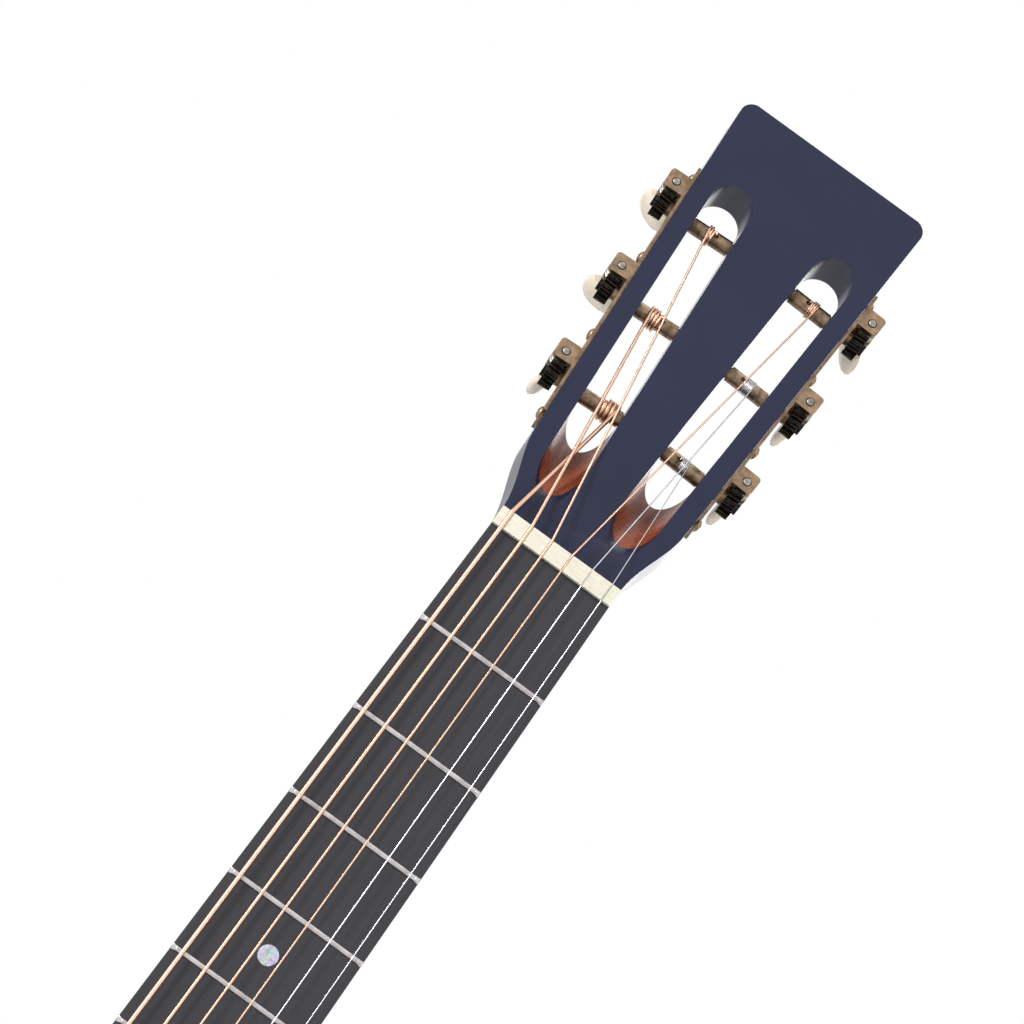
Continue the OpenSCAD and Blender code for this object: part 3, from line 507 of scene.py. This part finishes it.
for n in range(1, 7):
    r, u = WIRE[n - 1], (3.5 - n) / 5
    start, way, pitch = wrap_start(n)
    reach = ROLLER + 0.06 + r
    nut_x, pin_x, saddle_x = NUT_SPREAD * u, PIN_SPREAD * u, SADDLE_SPREAD * u
    nut_y = BOARD_RADIUS - math.sqrt((BOARD_RADIUS + 1) ** 2 - nut_x ** 2) - 0.45 - r
    top = [saddle_x, BOARD_RADIUS + SADDLE_Y - math.sqrt(BOARD_RADIUS ** 2 - saddle_x ** 2) - r - 0.05,
           SADDLE_Z + saddle_x * 3.2 / 72]
    meet = side_point(side_of(n), start - SLOT_INSET, ROLLER_DEPTH - reach * math.cos(0.14),
                      post_place(n) + reach * math.sin(0.14)) / MM
    still = np.array([[pin_x, 14.6, PIN_ROW + 2.5 + r], [pin_x, PIN_HEAD + 2, PIN_ROW + 2.5 + r],
                      [pin_x, PIN_HEAD - 0.2, PIN_ROW + 3 + r], [top[0], top[1] + 0.25, top[2] - 1.7], top,
                      [nut_x, nut_y, 0], [nut_x, nut_y, NUT_LENGTH - 0.5], meet]) * MM
    wound, material = n > 2, bronze if n > 2 else plain_wire
    ring, length = tube(spaced(still, 1.5), r, turn_mm=0.45 * r)
    surface(f"string_{n}_length", ring, "guitar", material, f"string_{n}", along=length)
    t = np.linspace(0.14, 2 * math.pi * TURNS[n - 1] + 0.14, 24 * TURNS[n - 1])
    coil = side_point(side_of(n), start - SLOT_INSET + way * pitch * t / (2 * math.pi), ROLLER_DEPTH - reach * np.cos(t),
                      post_place(n) + reach * np.sin(t))
    last = start + way * (pitch * TURNS[n - 1] + 1.0)
    inward = side_point(side_of(n), last - SLOT_INSET, ROLLER_DEPTH + np.linspace(-reach - 0.6, 2.0, 6), post_place(n))
    bend = (coil[-1] + inward[0]) / 2 + (coil[-1] - coil[-3]) * 0.3
    coil = np.concatenate([coil, [bend], inward])
    ring, length = tube(spaced(coil, 0.35), r, turn_mm=0.45 * r)
    surface(f"string_{n}_turns", ring, f"roller_{n}_turning", material, along=length)
print("string pieces made: 12")

# %% [markdown]
# ## Worms
# A worm is one thread round a shaft. Its radius depends only on the angle less the pitch's share of the
# height, so the surface is the radius r(angle - 2 pi y / pitch) over a grid of angle and height. The shaft
# passes through the ears and back to the knob as a turned profile.

# %% Worms and shafts
GEAR_PITCH_RADIUS, TEETH = 4.2, 14
PITCH = 2 * math.pi * GEAR_PITCH_RADIUS / TEETH
WORM_RADIUS = CENTRES - GEAR_PITCH_RADIUS
EAR = 3.0 + 1.9
for n in range(1, 7):
    profile = [(-EAR - 0.25, 0.05), (-EAR - 0.25, 1.1), (-EAR - 0.15, 1.2), (-EAR + 0.9, 1.2), (-EAR + 0.92, 1.45), (-2.9, 1.45),
               (-2.83, 2.0)]
    y = np.concatenate([[p[0] for p in profile], np.linspace(-2.8, 2.8, 110), [2.83, 2.9, EAR + 0.25, EAR + 0.3, EAR + 0.5,
                        EAR + 1.1, EAR + 1.3, EAR + 1.32, 16.4]])
    base = np.concatenate([[p[1] for p in profile], np.full(110, -1.0), [2.0, 1.45, 1.45, 2.2, 2.4, 2.4, 2.2, 1.45, 1.45]])
    angle = np.linspace(0, 2 * math.pi, 48, endpoint=False)
    phase = angle[None, :] / (2 * math.pi) - y[:, None] / PITCH
    part = np.abs(phase - np.floor(phase + 0.5))
    thread = WORM_RADIUS - 0.65 + 1.05 * np.clip((0.30 - part) / 0.2, 0, 1)
    radius = np.where(base[:, None] < 0, thread, base[:, None])
    out = WORM_OUT + radius * np.sin(angle)[None, :]
    climb = post_place(n) + CENTRES - radius * np.cos(angle)[None, :]
    points = side_point(side_of(n), out, ROLLER_DEPTH + y[:, None] + 0 * angle[None, :], climb)
    surface(f"worm_{n}_thread", points, f"worm_{n}_turning", shaft_steel, f"worm_{n}")
print("worm pitch in mm:", round(PITCH, 3))

# %% [markdown]
# ## Knobs
# Oval buttons pressed on the shafts behind the head. The section is a rounded oval: a superellipse, fuller
# than an ellipse, squashed along the axis and thinned a little near the shaft.

# %% Knobs
KNOB_ANGLE = [16, 11, -37, 63, 79, -28]
KNOB_CENTRE, KNOB_THIN, KNOB_DEEP, KNOB_WIDE, KNOB_FACE = 15.9, 2.5, 7.6, 6.9, 5.6
for n in range(1, 7):
    v = np.linspace(-math.pi / 2, math.pi / 2, 40)[:, None]
    w = np.linspace(0, 2 * math.pi, 64, endpoint=False)[None, :]
    power = 0.85
    cos_v, sin_v = np.abs(np.cos(v)) ** power, np.sign(np.sin(v)) * np.abs(np.sin(v)) ** power
    thin = KNOB_THIN * cos_v * np.sign(np.cos(w)) * np.abs(np.cos(w)) ** 0.9
    wide = KNOB_WIDE * cos_v * np.sign(np.sin(w)) * np.abs(np.sin(w)) ** 0.95
    deep = KNOB_CENTRE + np.maximum(KNOB_DEEP * sin_v, -KNOB_FACE) + 0 * w
    turn = math.radians(KNOB_ANGLE[n - 1])
    out = WORM_OUT + thin * math.cos(turn) + wide * math.sin(turn)
    climb = post_place(n) + CENTRES - thin * math.sin(turn) + wide * math.cos(turn)
    points = side_point(side_of(n), out, ROLLER_DEPTH + deep, climb)
    surface(f"knob_{n}_oval", points, f"worm_{n}_turning", cream, f"knob_{n}")
print("knobs made: 6")

# %% [markdown]
# ## Frets
# Fret wire is a half-round crown on a tang. It follows the crown of the board, and each end is filed to a
# bevel. The crown's section is swept across the board: height falls to nothing over the last 1.4 mm.

# %% Frets
NUT_HALF, EDGE_SLOPE, FRETS = 21.43, 0.0184, 19
FRET_HALF, FRET_HIGH = 0.95, 1.04
across = np.concatenate([np.linspace(-1, -0.94, 8), np.linspace(-0.92, 0.92, 40), np.linspace(0.94, 1, 8)])
round_part = np.linspace(0, math.pi, 14)
sections = []
for n in range(1, FRETS + 1):
    half = NUT_HALF - EDGE_SLOPE * fret_z(n) - 0.1
    x = half * across
    fall = np.clip((half - np.abs(x)) / 1.4, 0, 1)
    height = FRET_HIGH * fall[:, None] * np.sin(round_part)[None, :] ** 0.9 - 0.02
    board = BOARD_RADIUS - np.sqrt(BOARD_RADIUS ** 2 - x ** 2)
    z = fret_z(n) + FRET_HALF * np.cos(round_part)[None, :] + 0 * x[:, None]
    y = board[:, None] - height
    top = np.stack([x[:, None] + 0 * z, y, z], -1)
    low = np.stack([x, board + 1.6, fret_z(n) - 0.28 + 0 * x], -1)[:, None]
    high = np.stack([x, board + 1.6, fret_z(n) + 0.28 + 0 * x], -1)[:, None]
    sections.append(np.concatenate([top, low, high], 1) * MM)
wires = bpy.data.meshes.new("fret_wires")
faces, corners = [], []
for k, grid in enumerate(sections):
    rows, cols = grid.shape[:2]
    i, j = np.meshgrid(np.arange(rows - 1), np.arange(cols), indexing="ij")
    base = k * rows * cols
    a, b = base + i * cols + j, base + i * cols + (j + 1) % cols
    faces += np.stack([a, b, b + cols, a + cols], -1).reshape(-1, 4).tolist()
    faces += [(base + np.arange(cols))[::-1].tolist(), (base + (rows - 1) * cols + np.arange(cols)).tolist()]
    corners.append(grid.reshape(-1, 3))
wires.from_pydata(np.concatenate(corners).tolist(), [], faces)
shape = bmesh.new()
shape.from_mesh(wires)
bmesh.ops.recalc_face_normals(shape, faces=shape.faces)
shape.to_mesh(wires)
shape.free()
wires.polygons.foreach_set("use_smooth", np.ones(len(wires.polygons), bool))
wires.set_sharp_from_angle(angle=math.radians(45))
place_object("fret_wires", wires, "guitar", [fret_nickel], "frets")
print("frets made:", FRETS)

# %% [markdown]
# ## Light and ground
# A broad soft key from the upper left, a weaker fill from the right and a pale world. The background is
# white to the camera, and metal and lacquer see the same white, while the pieces are lit at a plain level.

# %% Lights, world and floor
for name, place, size, power in (("key", (-2.6, -2.2, 0.9), 0.9, 95), ("fill", (2.0, -2.2, 0.2), 1.8, 14),
                                 ("top", (0.3, 0.6, 2.4), 1.6, 20), ("back", (0.6, 2.4, 0.6), 1.8, 22)):
    data = bpy.data.lights.new(name, "AREA")
    data.size = size
    data.energy = power
    lamp = bpy.data.objects.new(name, data)
    bpy.context.scene.collection.objects.link(lamp)
    lamp.location = place
    lamp.rotation_mode = "QUATERNION"
    lamp.rotation_quaternion = (Vector((0, 0, -0.2)) - Vector(place)).to_track_quat("-Z", "Y")

world = bpy.data.worlds.new("studio")
bpy.context.scene.world = world
world.use_nodes = True
tree = world.node_tree
tree.nodes.clear()
rays = add(tree, "ShaderNodeLightPath")
glossy = add(tree, "ShaderNodeMath", operation="MAXIMUM",
             feed={0: rays.outputs["Is Camera Ray"], 1: rays.outputs["Is Glossy Ray"]})
seen = add(tree, "ShaderNodeMath", operation="MAXIMUM", feed={0: glossy.outputs[0], 1: rays.outputs["Is Transmission Ray"]})
soft = add(tree, "ShaderNodeBackground", put={"Color": (1, 1, 1, 1), "Strength": 0.35})
white = add(tree, "ShaderNodeBackground", put={"Color": (1, 1, 1, 1), "Strength": 1.0})
blend = add(tree, "ShaderNodeMixShader", feed={0: seen.outputs[0], 1: soft.outputs[0], 2: white.outputs[0]})
add(tree, "ShaderNodeOutputWorld", feed={"Surface": blend.outputs[0]})

floor_mesh = bpy.data.meshes.new("floor")
span = 6.0
floor_z = cad_low.z - 0.004
floor_mesh.from_pydata([(-span, -span, floor_z), (span, -span, floor_z), (span, span, floor_z), (-span, span, floor_z)],
                       [], [(0, 1, 2, 3)])
floor = bpy.data.objects.new("floor", floor_mesh)
bpy.context.scene.collection.objects.link(floor)
floor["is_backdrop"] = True
paper, tree, shader = finish("pale_floor", Roughness=0.9)
shader.inputs["Base Color"].default_value = linear("#f2f2f2")
floor_mesh.materials.append(paper)
scene = bpy.context.scene
scene.view_settings.view_transform = "Standard"
print("lamps:", len(bpy.data.lights))

# %% Finish
low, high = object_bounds()
print("sizes in mm:", [round(v / MM, 1) for v in (high - low)])
